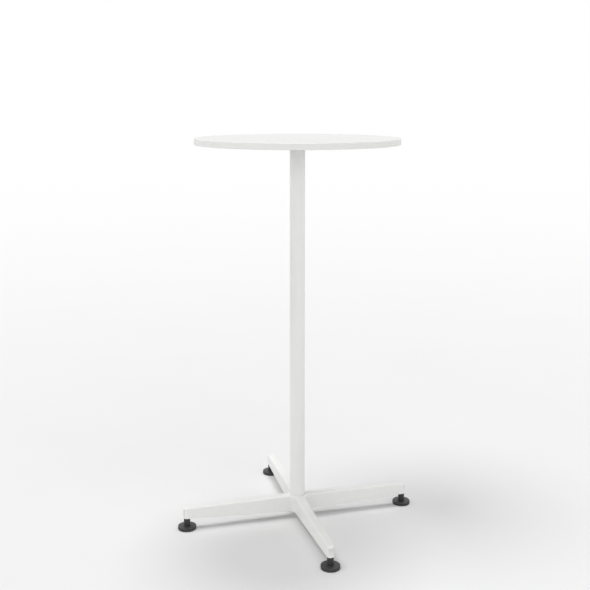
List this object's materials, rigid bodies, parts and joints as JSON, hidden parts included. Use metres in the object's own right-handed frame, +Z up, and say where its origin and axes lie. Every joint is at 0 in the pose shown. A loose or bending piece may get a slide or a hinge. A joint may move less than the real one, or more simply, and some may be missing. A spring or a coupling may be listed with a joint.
{
  "type": "high table",
  "caption": "Standing-height round table: a thin laminated top on one slim column, on a low cast star base whose tapering arms end in screw-adjusted levelling feet.",
  "frame": {"origin": "on the floor, on the column's axis", "axes": "+Z up along the column; the base's arms lie along +X, +Y, -X and -Y"},
  "size_m": [0.7002, 0.7002, 1.1],
  "materials": {
    "white_laminate_board": "white laminate, fine matt texture",
    "white_edge_band": "smooth, satin",
    "white_powder_coated_steel": "white powder coat, fine texture",
    "white_powder_coated_aluminium": "white powder coat on die-cast aluminium",
    "zinc_plated_steel": "zinc plated",
    "brass": "turned",
    "black_plastic": "moulded, fine grain",
    "dark_rubber": "matt"
  },
  "bodies": {
    "table": {"top_board": "white_laminate_board", "edge_band": "white_edge_band", "top_plate": "zinc_plated_steel", "column_tube": "white_powder_coated_steel", "top_plug": "zinc_plated_steel", "bottom_plug": "zinc_plated_steel", "star_base": "white_powder_coated_aluminium", "base_bolt": "zinc_plated_steel", "base_washer": "zinc_plated_steel", "wood_screw_1": "zinc_plated_steel", "wood_screw_2": "zinc_plated_steel", "wood_screw_3": "zinc_plated_steel", "wood_screw_4": "zinc_plated_steel", "wood_screw_5": "zinc_plated_steel", "wood_screw_6": "zinc_plated_steel", "wood_screw_7": "zinc_plated_steel", "wood_screw_8": "zinc_plated_steel", "plate_bolt_1": "zinc_plated_steel", "plate_bolt_2": "zinc_plated_steel", "plate_bolt_3": "zinc_plated_steel", "arm_insert_right": "brass", "arm_insert_back": "brass", "arm_insert_left": "brass", "arm_insert_front": "brass"},
    "foot_right": {"foot_disc_right": "black_plastic", "foot_sole_right": "dark_rubber"},
    "stud_right": {"foot_stud_right": "zinc_plated_steel", "foot_collar_right": "black_plastic"},
    "foot_back": {"foot_disc_back": "black_plastic", "foot_sole_back": "dark_rubber"},
    "stud_back": {"foot_stud_back": "zinc_plated_steel", "foot_collar_back": "black_plastic"},
    "foot_left": {"foot_disc_left": "black_plastic", "foot_sole_left": "dark_rubber"},
    "stud_left": {"foot_stud_left": "zinc_plated_steel", "foot_collar_left": "black_plastic"},
    "foot_front": {"foot_disc_front": "black_plastic", "foot_sole_front": "dark_rubber"},
    "stud_front": {"foot_stud_front": "zinc_plated_steel", "foot_collar_front": "black_plastic"}
  },
  "joints": [
    {"name": "level_right", "type": "slide", "parent": "table", "child": "foot_right", "axis": [0, 0, -1], "range_m": [0, 0.012]},
    {"name": "turn_right", "type": "hinge", "parent": "foot_right", "child": "stud_right", "pos_m": [0.3244, 0, 0.02], "axis": [0, 0, -1], "range_deg": [0, 3456]},
    {"name": "level_back", "type": "slide", "parent": "table", "child": "foot_back", "axis": [0, 0, -1], "range_m": [0, 0.012]},
    {"name": "turn_back", "type": "hinge", "parent": "foot_back", "child": "stud_back", "pos_m": [0, 0.3244, 0.02], "axis": [0, 0, -1], "range_deg": [0, 3456]},
    {"name": "level_left", "type": "slide", "parent": "table", "child": "foot_left", "axis": [0, 0, -1], "range_m": [0, 0.012]},
    {"name": "turn_left", "type": "hinge", "parent": "foot_left", "child": "stud_left", "pos_m": [-0.3244, 0, 0.02], "axis": [0, 0, -1], "range_deg": [0, 3456]},
    {"name": "level_front", "type": "slide", "parent": "table", "child": "foot_front", "axis": [0, 0, -1], "range_m": [0, 0.012]},
    {"name": "turn_front", "type": "hinge", "parent": "foot_front", "child": "stud_front", "pos_m": [0, -0.3244, 0.02], "axis": [0, 0, -1], "range_deg": [0, 3456]}
  ],
  "couplings": [
    {"joint": "turn_right", "follows": "level_right", "rad_per_m": 5026.5},
    {"joint": "turn_back", "follows": "level_back", "rad_per_m": 5026.5},
    {"joint": "turn_left", "follows": "level_left", "rad_per_m": 5026.5},
    {"joint": "turn_front", "follows": "level_front", "rad_per_m": 5026.5}
  ]
}
